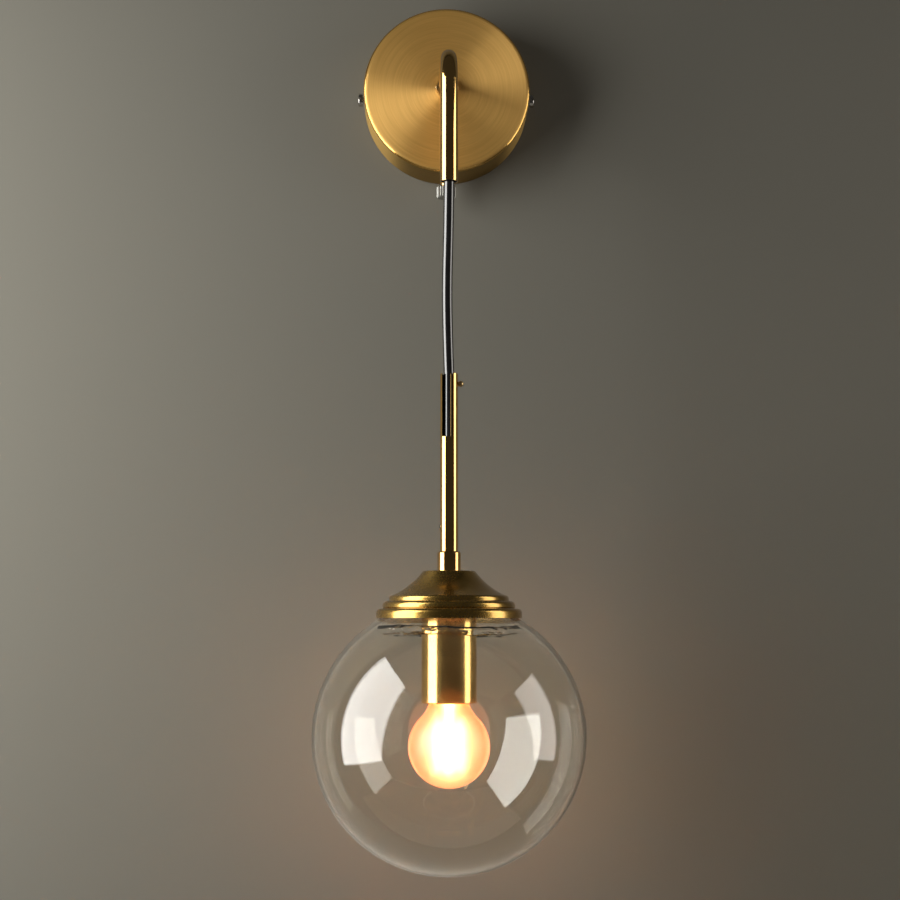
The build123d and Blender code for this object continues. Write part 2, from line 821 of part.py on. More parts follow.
def make_holder_leads():
    start = nipple_bottom - slip_gap
    low = start - lead_drop
    top = cavity_floor + terminal_height
    leads = []
    for side in (-1, 1):
        points = [
            (side * core_offset, 0, start),
            (side * core_offset, 0, low),
            (side * terminal_offset, 0, top + lead_drop),
            (side * terminal_offset, 0, top),
        ]
        leads.append(pendant * swept_rod(core_radius, points, core_bend))
    tag_reach = lock_nut_flats / 2 + core_radius + running_gap
    tag_bottom = holder_roof - holder_top - tag_thickness
    earth_points = [
        (0, core_offset, start),
        (0, core_offset, low - lead_drop),
        (0, tag_reach, low - lead_drop),
        (0, tag_reach, tag_bottom),
    ]
    leads.append(pendant * swept_rod(core_radius, earth_points, core_bend))
    return leads


# Globe
def make_glass_globe():
    inner_radius = globe_radius - globe_wall
    inner_centre = globe_centre - globe_inner_drop
    neck_inside = neck_radius - globe_neck_wall
    outer_ball = Pos(0, 0, globe_centre) * Sphere(globe_radius)
    neck = rod(neck_radius, (0, 0, globe_centre), (0, 0, neck_top))
    neck = fillet(neck.edges().filter_by(GeomType.CIRCLE).sort_by(Axis.Z)[-1], globe_neck_round)
    head_room = rod(globe_radius, (0, 0, lip_bottom - running_gap), (0, 0, globe_centre + 2 * globe_radius))
    inner_ball = Pos(0, 0, inner_centre) * Sphere(inner_radius)
    mouth = rod(neck_inside, (0, 0, inner_centre), (0, 0, neck_top))
    hollow = inner_ball + mouth
    lip = ring_segments(neck_radius - globe_neck_wall / 2, lip_wall - running_gap, lip_bottom,
                        lip_bottom + globe_lip_height, globe_lip_width)
    return pendant * ((outer_ball - head_room + neck + lip) - hollow)


# Lamp
def make_bulb_glass():
    neck_end = bulb_tip - bulb_neck_length
    seal = bulb_cap_diameter / 2 - bulb_cap_wall - bulb_seal_gap
    return pendant * (bulb_form(bulb_radius, bulb_neck_radius, seal, neck_end)
                      - bulb_form(bulb_radius - bulb_glass_wall, bulb_neck_radius - bulb_glass_wall,
                                  seal - bulb_glass_wall, neck_end))


def bulb_form(radius, neck, seal, neck_end):
    """Ball that runs through a hollow curve into a round neck, and on into the metal cap."""
    rise = neck_end - bulb_centre
    curve = (neck**2 + rise**2 - radius**2) / (2 * (radius - neck))
    share = radius / (radius + curve)
    meet = ((neck + curve) * share, bulb_centre + rise * share)
    waist_centre = Vector(neck + curve, neck_end)
    waist_side = Vector(meet[0] + neck, meet[1] + neck_end) - 2 * waist_centre
    waist_middle = waist_centre + waist_side.normalized() * curve
    ball_side = Vector(meet[0], meet[1] - bulb_centre - radius)
    ball_middle = Vector(0, bulb_centre) + ball_side.normalized() * radius
    sleeve_top = bulb_tip - bulb_insulator_height - bulb_tip_height - bulb_cap_length / 2
    waist = ThreePointArc((neck, neck_end), waist_middle, meet)
    ball = ThreePointArc(meet, ball_middle, (0, bulb_centre - radius))
    shoulder = bulb_tip - bulb_tip_height - bulb_insulator_height - bulb_cap_length - bulb_seal_gap
    inside = Polyline((0, bulb_centre - radius), (0, sleeve_top), (seal, sleeve_top), (seal, shoulder),
                      (neck, neck_end))
    return turned_edges([waist, ball, *inside.edges()])


def make_bulb_cap():
    top = bulb_tip - bulb_tip_height - bulb_insulator_height
    outer = bulb_cap_diameter / 2
    inner = outer - bulb_cap_wall
    return pendant * turned((bulb_tip_radius, top), (outer, top), (outer, top - bulb_cap_length),
                            (inner, top - bulb_cap_length), (inner, top - bulb_cap_wall),
                            (bulb_tip_radius, top - bulb_cap_wall))


def make_bulb_insulator():
    bottom = bulb_tip - bulb_tip_height - bulb_insulator_height
    top = bottom + bulb_insulator_height
    foot = bulb_cap_diameter / 2 - bulb_cap_wall
    return pendant * turned((0, bottom), (foot, bottom), (bulb_tip_radius, top), (0, top))


def make_bulb_contact():
    bottom = bulb_tip - bulb_tip_height
    tip = rod(bulb_tip_radius, (0, 0, bottom), (0, 0, bulb_tip))
    return pendant * fillet(tip.edges().group_by(Axis.Z)[-1], bulb_tip_height / 2)


def make_bulb_mount():
    top = bulb_tip - bulb_neck_length + bulb_neck_radius - bulb_cap_diameter / 2
    flare_foot = top - mount_flare_length
    bottom = filament_bottom - mount_past_filaments
    flare = SagittaArc((mount_flare_radius, top), (mount_radius, flare_foot), mount_radius / 2)
    rest = Polyline((mount_radius, flare_foot), (mount_radius, bottom), (0, bottom), (0, top),
                    (mount_flare_radius, top))
    return pendant * turned_edges([flare, *rest.edges()])


def make_filament_wires():
    wires = []
    for turn in range(filament_count):
        spin = Rot(0, 0, turn * 360 / filament_count)
        for height in (filament_bottom - filament_wire_radius, filament_top + filament_wire_radius):
            wire = rod(filament_wire_radius, (mount_radius + slip_gap / 2, 0, height),
                       (filament_ring_radius + filament_radius, 0, height))
            wires.append(pendant * spin * wire)
    return wires


def make_filaments():
    stick = rod(filament_radius, (filament_ring_radius, 0, filament_bottom),
                (filament_ring_radius, 0, filament_top))
    return [pendant * Rot(0, 0, turn * 360 / filament_count) * stick for turn in range(filament_count)]


nodes = {
    "canopy": make_canopy(),
    "wall_bracket": make_wall_bracket(),
    "canopy_screws": make_canopy_screws(),
    "arm_tube": make_arm_tube(),
    "arm_nut": make_arm_nut(),
    "arm_lock_washer": make_arm_lock_washer(),
    "arm_back_nut": make_arm_back_nut(),
    "arm_outlet_bush": make_arm_outlet_bush(),
    "cord_in_arm": make_cord_in_arm(),
    "terminal_block": make_terminal_block(),
    "terminal_inserts": make_terminal_inserts(),
    "terminal_screws": make_terminal_screws(),
    "terminal_fixing_screw": make_terminal_fixing_screw(),
    "earth_screw": make_earth_screw(),
    "neutral_lead": make_neutral_lead(),
    "live_lead": make_live_lead(),
    "switched_lead": make_switched_lead(),
    "earth_lead": make_earth_lead(),
    "switch_body": make_switch_body(),
    "switch_nut": make_switch_nut(),
    "switch_knob": make_switch_knob(),
    "cord_bend": make_cord_bend(),
    "cord_hang": make_cord_hang(),
    "cord_in_stem": make_cord_in_stem(),
    "stem_tube": make_stem_tube(),
    "clamp_screw": make_clamp_screw(),
    "stem_grub_screw": make_stem_grub_screw(),
    "stem_collar": make_stem_collar(),
    "cap": make_cap(),
    "cap_nipple": make_cap_nipple(),
    "cap_washer": make_cap_washer(),
    "cap_nut": make_cap_nut(),
    "globe_gasket": make_globe_gasket(),
    "socket_cup": make_socket_cup(),
    "lampholder_body": make_lampholder_body(),
    "holder_earth_tag": make_holder_earth_tag(),
    "holder_nut": make_holder_nut(),
    "lampholder_shell": make_lampholder_shell(),
    "lampholder_contact": make_lampholder_contact(),
    "holder_terminals": make_holder_terminals(),
    "holder_leads": make_holder_leads(),
    "glass_globe": make_glass_globe(),
    "bulb_glass": make_bulb_glass(),
    "bulb_cap": make_bulb_cap(),
    "bulb_insulator": make_bulb_insulator(),
    "bulb_contact": make_bulb_contact(),
    "bulb_mount": make_bulb_mount(),
    "filament_wires": make_filament_wires(),
    "filaments": make_filaments(),
}

os.makedirs("parts", exist_ok=True)
for name, shape in nodes.items():
    solids = shape if isinstance(shape, list) else shape.solids()
    export_step(Compound(solids), f"parts/{name}.step")

cord_section = pi * cord_radius**2
arm_run = arm_reach + sheath_end + arm_drop - cord_radius - running_gap - arm_bend_radius * (2 - pi / 2)
print("cord in the arm: bend radius", arm_bend_radius, "length", round(arm_run, 1))
print("volume", round(nodes["cord_in_arm"].volume), "section times length", round(cord_section * arm_run))
print("cord that hangs: length", cord_free_length, "with no bend")
hang_volume = round(nodes["cord_hang"].volume)
print("volume", hang_volume, "section times length", round(cord_section * cord_free_length))
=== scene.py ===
"""The looks of a brass wall sconce with a clear glass globe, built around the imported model.

Metres, +Z up. The wall is the plane y = 0, the sconce stands out from it along -Y, and the centre
of the canopy's back is the origin.
"""

import math

import bpy
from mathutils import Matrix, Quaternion, Vector


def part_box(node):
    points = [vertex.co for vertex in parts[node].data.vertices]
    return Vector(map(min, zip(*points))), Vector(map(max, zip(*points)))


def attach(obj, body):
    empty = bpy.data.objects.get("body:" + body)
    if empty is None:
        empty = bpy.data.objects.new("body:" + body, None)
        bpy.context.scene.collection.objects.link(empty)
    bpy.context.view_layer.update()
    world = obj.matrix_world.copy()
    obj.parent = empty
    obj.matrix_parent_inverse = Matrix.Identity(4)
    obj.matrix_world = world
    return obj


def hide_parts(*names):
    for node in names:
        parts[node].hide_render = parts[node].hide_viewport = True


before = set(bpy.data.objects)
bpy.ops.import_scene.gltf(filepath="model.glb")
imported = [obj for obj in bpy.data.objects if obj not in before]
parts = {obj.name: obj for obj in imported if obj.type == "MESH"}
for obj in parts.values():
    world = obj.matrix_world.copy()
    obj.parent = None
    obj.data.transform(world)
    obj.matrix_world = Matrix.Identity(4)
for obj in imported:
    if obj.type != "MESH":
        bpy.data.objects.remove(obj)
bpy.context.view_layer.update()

# Camera
eye = Vector((-0.0184, -1.1, -0.3205))
eye_pitch = 3.82               # degrees above the horizon
eye_yaw = -1.09                # degrees from straight ahead, positive to the left
lens_mm = 72.56
sensor_mm = 36
frame_shift = 0.06             # share of the picture's width
view_depth = 20

# Cord
cord_diameter = 0.006
cord_tuck = 0.0015             # how far the cord's end reaches up into the arm's mouth
cord_bow = 0.0009              # how far the cord hangs out of line, to the left
cord_steps = 24                # along each run of the curve
cord_roundness = 10
# The cord's control points: to the left, in bows, and down, as a share of its drop
cord_route = ((0.0, 0.0), (0.3, 0.25), (1.3, 0.55), (0.8, 0.82), (0.0, 1.0))

# Room
wall_gap = 0.0005              # between the canopy's back and the wall
wall_left = -0.43
wall_right = 1.6
wall_top = 1.2
wall_opening = 0.0485          # radius of the opening that the canopy hides
floor_left = -1.6
floor_right = 1.0
floor_level = -1.5             # the lamp hangs at a standing person's eye level
floor_depth = 1.45

# The lit lamp
filament_strength = 135
# The glass mount's glow is painted light: the mount is no lamp
painted_mount_glow = 55
glow_power = 0.074             # watts of the lamp's light on what is near it
glow_size = 0.012
glow_height = 0.0224           # above the bottom of the lamp's glass

# Tubes
# Inside the tubes' bores the brass gets painted shade, up to the stem's top and up into the arm's mouth
tube_bore_radius = 0.0045
arm_mouth_depth = 0.03         # how far up the arm's straight end its bore shows

# The canopy's face, brushed in circles, its polished rim and its side
fine_strokes = 5200.0          # per metre of radius
broad_strokes = 900.0
stroke_height = 0.00002
stroke_relief = 0.06
stroke_tones = (0.12, 0.4)     # strokes from the darkest to the lightest
stroke_pull = 0.9              # how far the strokes draw out a reflection
stroke_turn = 0.25             # of a whole turn
face_metal = 0.66
rim_radii = (0.0484, 0.0494)   # where the rim begins, and where it is full
side_radii = (0.0497, 0.0499)
rim_polish = -0.34             # change of roughness from the face to the rim
side_dullness = 0.22           # change of roughness from the rim to the side

# The ring that blowing leaves in the glass under the globe's neck
ring_drop = 0.005              # below the cap's edge
ring_reach = 0.0018            # up and down from its middle
ring_wander = 0.004
ring_ends = (0.030, 0.038)     # distance from the middle, to the side, over which it fades
ring_height = 0.001
ring_relief = 1.0

# Other surfaces
mark_height = 0.00005          # depth of handling marks in metal and of the skin of plastic
metal_relief = 0.035
plain_relief = 0.1
polish_tones = (0.1, 0.45)     # handling marks from the faintest to the strongest
lacquer_rough = 0.04
full_lacquer = 0.5
thin_lacquer = 0.4
glass_index = 1.5
globe_dust = 0.5
dust_spread = 0.28
lamp_rough = 0.46
lamp_coat = 0.2
lamp_depth = 1300              # how fast the lamp's glass takes light away, per metre
hot_rough = 0.6

# Cells of noise per metre
metal_patches = 45.0
metal_grain = 900.0
plain_patches = 70.0
plain_grain = 600.0
cord_grain = 400.0
ceramic_grain = 300.0
ring_bends = 45.0
ring_patches = 80.0
filament_beads = 700.0

# Roughness, from the smoothest to the dullest patch
brushed = (0.46, 0.54)
polished = (0.05, 0.11)
satin = (0.14, 0.24)
aged = (0.20, 0.32)
bare = (0.25, 0.40)
bright = (0.10, 0.22)
blasted = (0.42, 0.55)
zinc_plated = (0.28, 0.45)
cord_skin = (0.2, 0.3)
moulded = (0.35, 0.5)
lead_skin = (0.3, 0.45)
sleeve = (0.4, 0.55)
rubbery = (0.45, 0.6)
glazed = (0.25, 0.4)
enamelled = (0.15, 0.3)

# Colours, linear
wall_colour = (0.178, 0.172, 0.146, 1)
floor_colour = (0.50, 0.485, 0.45, 1)
backdrop_colour = (0.24, 0.225, 0.20, 1)
room_colour = (0.032, 0.030, 0.027, 1)
left_light = (1.0, 0.985, 0.955, 1)
right_light = (1.0, 0.95, 0.89, 1)
behind_light = (1.0, 0.97, 0.94, 1)
glow_colour = (1.0, 0.62, 0.28)
gold = (0.90, 0.55, 0.16, 1)
gold_shade = (0.78, 0.45, 0.12, 1)
bright_gold = (0.92, 0.58, 0.19, 1)
bright_gold_shade = (0.80, 0.47, 0.13, 1)
# Painted shade: the canopy's side is coloured darker than its face
painted_shade_side_gold = (0.42, 0.27, 0.085, 1)
# Painted shade inside the tubes' bores
bore_painted_shade = (0.035, 0.022, 0.010, 1)
old_gold = (0.55, 0.345, 0.09, 1)
old_gold_shade = (0.36, 0.215, 0.047, 1)
plain_brass_colour = (0.78, 0.58, 0.30, 1)
plain_brass_shade = (0.62, 0.43, 0.19, 1)
nickel_colour = (0.72, 0.70, 0.66, 1)
nickel_shade = (0.55, 0.53, 0.50, 1)
satin_grey = (0.46, 0.46, 0.43, 1)
satin_shade = (0.36, 0.36, 0.335, 1)
zinc_colour = (0.58, 0.59, 0.60, 1)
zinc_shade = (0.40, 0.41, 0.43, 1)
cord_black = (0.006, 0.006, 0.0065, 1)
cord_grey = (0.014, 0.014, 0.015, 1)
plastic_black = (0.018, 0.018, 0.019, 1)
plastic_grey = (0.035, 0.035, 0.036, 1)
nylon_white = (0.78, 0.77, 0.73, 1)
nylon_shade = (0.68, 0.66, 0.61, 1)
lead_brown = (0.16, 0.07, 0.03, 1)
lead_blue = (0.05, 0.16, 0.42, 1)
lead_green = (0.14, 0.42, 0.07, 1)
lead_white = (0.75, 0.74, 0.70, 1)
silicone_colour = (0.70, 0.69, 0.66, 1)
silicone_shade = (0.60, 0.59, 0.55, 1)
ceramic_colour = (0.86, 0.85, 0.81, 1)
ceramic_shade = (0.76, 0.74, 0.69, 1)
enamel_black = (0.02, 0.02, 0.022, 1)
hot_colour = (0.9, 0.6, 0.2, 1)
filament_orange = (1.0, 0.80, 0.64, 1)
filament_yellow = (1.0, 0.90, 0.76, 1)
# Colours of the mount's painted glow
mount_yellow = (1.0, 0.68, 0.40, 1)
mount_white = (1.0, 0.84, 0.62, 1)
globe_tint = (0.96, 0.972, 0.952, 1)
dust_tint = (1.0, 0.93, 0.85, 1)
lamp_tint = (1.0, 0.93, 0.82, 1)
lamp_amber = (0.97, 0.62, 0.30, 1)


# Node helpers
def node(tree, kind, inputs=None, **settings):
    """A shader node with its settings, and its inputs set to values or linked to sockets."""
    made = tree.nodes.new("ShaderNode" + kind)
    for name, value in settings.items():
        setattr(made, name, value)
    for key, value in (inputs or {}).items():
        if isinstance(value, bpy.types.NodeSocket):
            tree.links.new(value, made.inputs[key])
        else:
            made.inputs[key].default_value = value
    return made


def calculate(tree, operation, *values):
    """A number worked out from others."""
    return node(tree, "Math", dict(enumerate(values)), operation=operation).outputs[0]


def calculate_vector(tree, operation, *values):
    """A vector worked out from others, or its length."""
    made = node(tree, "VectorMath", dict(enumerate(values)), operation=operation)
    return made.outputs["Value" if operation == "LENGTH" else "Vector"]


def new_material(name):
    """A material with an empty tree but for its output."""
    made = bpy.data.materials.new(name)
    made.use_nodes = True
    made.node_tree.nodes.clear()
    output = node(made.node_tree, "OutputMaterial")
    return made, made.node_tree, output


def place(tree):
    """The point's place in the object's own frame, in metres."""
    return node(tree, "TexCoord").outputs["Object"]


def noise(tree, vector, scale, detail=4.0, roughness=0.55):
    """A grey noise, with scale in cells for each unit of the vector."""
    inputs = {"Vector": vector, "Scale": scale, "Detail": detail, "Roughness": roughness}
    return node(tree, "TexNoise", inputs).outputs["Fac"]


def between(tree, value, low, high, from_low=0.3, from_high=0.7):
    """A grey value spread over a new range, and held inside it."""
    inputs = {
        "Value": value,
        "From Min": from_low,
        "From Max": from_high,
        "To Min": low,
        "To Max": high,
    }
    return node(tree, "MapRange", inputs).outputs["Result"]


def blend_colours(tree, value, first, second):
    """A colour that runs from the first to the second with a grey value."""
    made = node(tree, "Mix", {"Factor": value}, data_type="RGBA")
    for socket, colour in zip([s for s in made.inputs if s.type == "RGBA"], (first, second)):
        if isinstance(colour, bpy.types.NodeSocket):
            tree.links.new(colour, socket)
        else:
            socket.default_value = colour
    return [s for s in made.outputs if s.type == "RGBA"][0]


def bump(tree, height, strength, distance):
    """A bumped normal."""
    inputs = {"Height": height, "Strength": strength, "Distance": distance}
    return node(tree, "Bump", inputs).outputs["Normal"]


# Materials
def inside_bore(tree, where, axis, radius, top):
    """1 inside an upright bore, below its top, and 0 elsewhere."""
    off_axis = calculate_vector(tree, "SUBTRACT", where, axis)
    level = calculate_vector(tree, "MULTIPLY", off_axis, (1, 1, 0))
    distance = calculate_vector(tree, "LENGTH", level)
    near = calculate(tree, "LESS_THAN", distance, radius)
    height = node(tree, "SeparateXYZ", {0: where}).outputs["Z"]
    below = calculate(tree, "LESS_THAN", height, top)
    return calculate(tree, "MULTIPLY", near, below)


def metal(name, colour, shade, rough, bore=None, lacquer=0.0):
    """Plated or polished metal: patchy tone, fine handling marks and a slightly uneven polish.

    A bore, given by its axis, radius and top, is dull, and dark with painted shade. Lacquer is a thin
    clear coat.
    """
    made, tree, output = new_material(name)
    where = place(tree)
    patches = noise(tree, where, metal_patches, detail=5.0)
    marks = noise(tree, where, metal_grain, detail=3.0, roughness=0.7)
    tint = blend_colours(tree, between(tree, patches, 0.0, 1.0), shade, colour)
    polish = calculate(tree, "MULTIPLY", patches, marks)
    dullness = between(tree, polish, *rough, *polish_tones)
    # Painted shade: the bore's inside is coloured dark
    if bore:
        inside = inside_bore(tree, where, *bore)
        tint = blend_colours(tree, inside, tint, bore_painted_shade)
        dullness = calculate(tree, "MAXIMUM", dullness, inside)
    surface = node(tree, "BsdfPrincipled", {
        "Base Color": tint,
        "Metallic": 1.0,
        "Roughness": dullness,
        "Coat Weight": lacquer,
        "Coat Roughness": lacquer_rough,
        "Normal": bump(tree, marks, metal_relief, mark_height),
    })
    tree.links.new(surface.outputs[0], output.inputs["Surface"])
    return made


def brushed_disc(name, colour, shade):
    """Brass brushed in circles about the Y axis, with a polished rim, and a duller side whose darker
    colour is painted shade.
    """
    made, tree, output = new_material(name)
    where = place(tree)
    flat = calculate_vector(tree, "MULTIPLY", where, (1, 0, 1))
    radius = calculate_vector(tree, "LENGTH", flat)
    spoke = node(tree, "SeparateXYZ", {0: calculate_vector(tree, "NORMALIZE", flat)})
    depth = node(tree, "SeparateXYZ", {0: where}).outputs["Y"]
    across = calculate(tree, "SUBTRACT", radius, depth)

    def strokes(count):
        """A place that runs fast across the strokes and slowly along them."""
        fast = calculate(tree, "MULTIPLY", across, count)
        axes = {"X": fast, "Y": spoke.outputs["X"], "Z": spoke.outputs["Z"]}
        return node(tree, "CombineXYZ", axes).outputs[0]

    fine = noise(tree, strokes(fine_strokes), 1.0, detail=3.0, roughness=0.7)
    broad = noise(tree, strokes(broad_strokes), 1.0, detail=2.0, roughness=0.5)
    tone = between(tree, calculate(tree, "MULTIPLY", fine, broad), 0.0, 1.0, *stroke_tones)
    face_colour = blend_colours(tree, tone, shade, colour)
    rim = between(tree, radius, 0.0, 1.0, *rim_radii)
    side = between(tree, radius, 0.0, 1.0, *side_radii)
    face_rough = between(tree, fine, *brushed)
    rim_change = calculate(tree, "MULTIPLY", rim, rim_polish)
    change = calculate(tree, "MULTIPLY_ADD", side, side_dullness, rim_change)
    surface = node(tree, "BsdfPrincipled", {
        # The side's darker colour is painted shade
        "Base Color": blend_colours(tree, side, face_colour, painted_shade_side_gold),
        "Metallic": between(tree, rim, face_metal, 1.0, 0.0, 1.0),
        "Roughness": calculate(tree, "ADD", face_rough, change),
        "Anisotropic": stroke_pull,
        "Anisotropic Rotation": stroke_turn,
        "Tangent": node(tree, "Tangent", direction_type="RADIAL", axis="Y").outputs[0],
        "Normal": bump(tree, fine, stroke_relief, stroke_height),
    })
    tree.links.new(surface.outputs[0], output.inputs["Surface"])
    return made


def plain(name, colour, shade, rough, grain=plain_grain, shine=0.5,
          coat=0.0, coat_rough=0.12, coat_index=1.5):
    """Moulded plastic, rubber, enamel or ceramic: a fine skin, and an uneven tone if it has a shade."""
    made, tree, output = new_material(name)
    where = place(tree)
    tint = colour
    if shade:
        patches = noise(tree, where, plain_patches)
        tint = blend_colours(tree, between(tree, patches, 0.0, 1.0), shade, colour)
    skin = noise(tree, where, grain, detail=3.0, roughness=0.6)
    surface = node(tree, "BsdfPrincipled", {
        "Base Color": tint,
        "Roughness": between(tree, skin, *rough),
        "Specular IOR Level": shine,
        "Coat Weight": coat,
        "Coat Roughness": coat_rough,
        "Coat IOR": coat_index,
        "Normal": bump(tree, skin, plain_relief, mark_height),
    })
    tree.links.new(surface.outputs[0], output.inputs["Surface"])
    return made


def neck_waves(tree, level):
    """A bumped normal for the uneven ring under a globe's neck, at its front and back."""
    where = place(tree)
    axes = node(tree, "SeparateXYZ", {0: where})
    to_side = calculate(tree, "ABSOLUTE", axes.outputs["X"])
    here = between(tree, to_side, 1.0, 0.0, *ring_ends)
    bends = noise(tree, where, ring_bends, detail=2.0)
    shifted = calculate(tree, "MULTIPLY_ADD", bends, ring_wander, axes.outputs["Z"])
    away = calculate(tree, "ABSOLUTE", calculate(tree, "SUBTRACT", shifted, level))
    ridge = between(tree, away, 1.0, 0.0, 0.0, ring_reach)
    patches = between(tree, noise(tree, where, ring_patches, detail=2.0), 0.0, 1.0)
    broken = calculate(tree, "MULTIPLY", ridge, patches)
    return bump(tree, calculate(tree, "MULTIPLY", broken, here), ring_relief, ring_height)


def glass(name, tint, rough, coat=0.0, dust=0.0, amber=None, waves=None):
    """Glass that bends what is seen through it and lets the lamps' light pass.

    An amber colours it with depth, and waves are at the level of a ring in a blown neck.
    """
    made, tree, output = new_material(name)
    surface = node(tree, "BsdfPrincipled", {
        "Base Color": tint,
        "Roughness": rough,
        "IOR": glass_index,
        "Transmission Weight": 1.0,
        "Coat Weight": coat,
        "Coat Roughness": 0.0,
        "Sheen Weight": dust,
        "Sheen Roughness": dust_spread,
        "Sheen Tint": dust_tint,
    })
    if waves is not None:
        tree.links.new(neck_waves(tree, waves), surface.inputs["Normal"])
    clear = node(tree, "BsdfTransparent", {"Color": tint})
    lamp_ray = node(tree, "LightPath").outputs["Is Shadow Ray"]
    mixed = node(tree, "MixShader", {0: lamp_ray, 1: surface.outputs[0], 2: clear.outputs[0]})
    tree.links.new(mixed.outputs[0], output.inputs["Surface"])
    if amber:
        depth = node(tree, "VolumeAbsorption", {"Color": amber, "Density": lamp_depth})
        tree.links.new(depth.outputs[0], output.inputs["Volume"])
    return made


def glowing(name, low_colour, high_colour, strength):
    """A glowing piece inside the lamp: the filaments are the lamp, and the mount's glow is painted
    light.
    """
    made, tree, output = new_material(name)
    beads = noise(tree, place(tree), filament_beads, detail=2.0)
    surface = node(tree, "BsdfPrincipled", {
        "Base Color": hot_colour,
        "Roughness": hot_rough,
        "Emission Color": blend_colours(tree, beads, low_colour, high_colour),
        "Emission Strength": strength,
    })
    tree.links.new(surface.outputs[0], output.inputs["Surface"])
    return made


def bright_brass(name, rough, bore=None):
    """Lacquered brass of the tubes and of the socket cup."""
    return metal(name, bright_gold, bright_gold_shade, rough, bore, full_lacquer)


stem_low, stem_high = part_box("stem_tube")
stem_axis = (stem_low + stem_high) / 2
stem_bore = (stem_axis, tube_bore_radius, stem_high.z)
arm_bore = (stem_axis, tube_bore_radius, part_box("arm_tube")[0].z + arm_mouth_depth)
neck_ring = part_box("cap")[0].z - ring_drop
finishes = {
    "brushed_brass": brushed_disc("brushed_brass", gold, gold_shade),
    "polished_brass": bright_brass("polished_brass", polished),
    "stem_brass": bright_brass("stem_brass", polished, stem_bore),
    "arm_brass": bright_brass("arm_brass", polished, arm_bore),
    "satin_brass": bright_brass("satin_brass", satin),
    "old_brass": metal("old_brass", old_gold, old_gold_shade, aged, lacquer=thin_lacquer),
    "plain_brass": metal("plain_brass", plain_brass_colour, plain_brass_shade, bare),
    "bright_nickel": metal("bright_nickel", nickel_colour, nickel_shade, bright),
    "satin_nickel": metal("satin_nickel", satin_grey, satin_shade, blasted),
    "zinc_steel": metal("zinc_steel", zinc_colour, zinc_shade, zinc_plated),
    "black_cord": plain("black_cord", cord_black, cord_grey, cord_skin, cord_grain,
                        shine=0.2, coat=1.0, coat_rough=0.03, coat_index=1.8),
    "black_plastic": plain("black_plastic", plastic_black, plastic_grey, moulded),
    "white_nylon": plain("white_nylon", nylon_white, nylon_shade, moulded),
    "brown_lead": plain("brown_lead", lead_brown, None, lead_skin),
    "blue_lead": plain("blue_lead", lead_blue, None, lead_skin),
    "green_lead": plain("green_lead", lead_green, None, lead_skin),
    "holder_lead": plain("holder_lead", lead_white, nylon_shade, sleeve),
    "silicone": plain("silicone", silicone_colour, silicone_shade, rubbery),
    "ceramic": plain("ceramic", ceramic_colour, ceramic_shade, glazed, ceramic_grain),
    "clear_glass": glass("clear_glass", globe_tint, 0.0, dust=globe_dust, waves=neck_ring),
    "lamp_glass": glass("lamp_glass", lamp_tint, lamp_rough, lamp_coat, amber=lamp_amber),
    "lamp_black": plain("lamp_black", enamel_black, plastic_grey, enamelled),
    "filament_wire": metal("filament_wire", nickel_colour, nickel_shade, bare),
    "filament_glow": glowing("filament_glow", filament_orange, filament_yellow, filament_strength),
    # Painted light: the glass mount glows though it is no lamp
    "lit_mount": glowing("lit_mount", mount_yellow, mount_white, painted_mount_glow),
}

# Pieces whose finish in the photograph differs from that of the rest of their slot
own_finish = {
    "arm_nut": "plain_brass",
    "arm_tube": "arm_brass",
    "bulb_mount": "lit_mount",
    "cap": "old_brass",
    "clamp_screw": "plain_brass",
    "socket_cup": "satin_brass",
    "stem_tube": "stem_brass",
    "switch_knob": "satin_nickel",
}

for name, piece in parts.items():
    slot = piece.data.materials[0].name
    piece.data.materials[0] = finishes[own_finish.get(name, slot)]


# Cord
def make_cord():
    """The flexible cord between the arm's mouth and the stem, bowed a little as it hangs."""
    low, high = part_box("cord_hang")
    axis_x, axis_y = (low.x + high.x) / 2, (low.y + high.y) / 2
    bend_low, bend_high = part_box("cord_bend")
    mouth = (bend_low.z + bend_high.z) / 2
    top = mouth + cord_tuck
    drop = top - low.z
    curve = bpy.data.curves.new("cord", "CURVE")
    curve.dimensions = "3D"
    curve.bevel_depth = cord_diameter / 2
    curve.bevel_resolution = cord_roundness
    curve.resolution_u = cord_steps
    curve.use_fill_caps = True
    line = curve.splines.new("NURBS")
    line.points.add(len(cord_route) - 1)
    for point, (left, down) in zip(line.points, cord_route):
        point.co = (axis_x - left * cord_bow, axis_y, top - down * drop, 1)
    line.order_u = 3
    line.use_endpoint_u = True
    cord = bpy.data.objects.new("cord", curve)
    bpy.context.scene.collection.objects.link(cord)
    cord.data.materials.append(finishes["black_cord"])
    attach(cord, "pendant")
    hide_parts("cord_hang", "cord_bend")


make_cord()


# Room
def stage_panel(name, corners):
    """A flat panel that isn't part of the object, with a material of its own to fill."""
    mesh = bpy.data.meshes.new(name)
    mesh.from_pydata(corners, [], [tuple(range(len(corners)))])
    made = bpy.data.objects.new(name, mesh)
    bpy.context.scene.collection.objects.link(made)
    material, tree, output = new_material(name + "_surface")
    mesh.materials.append(material)
    return made, tree, output


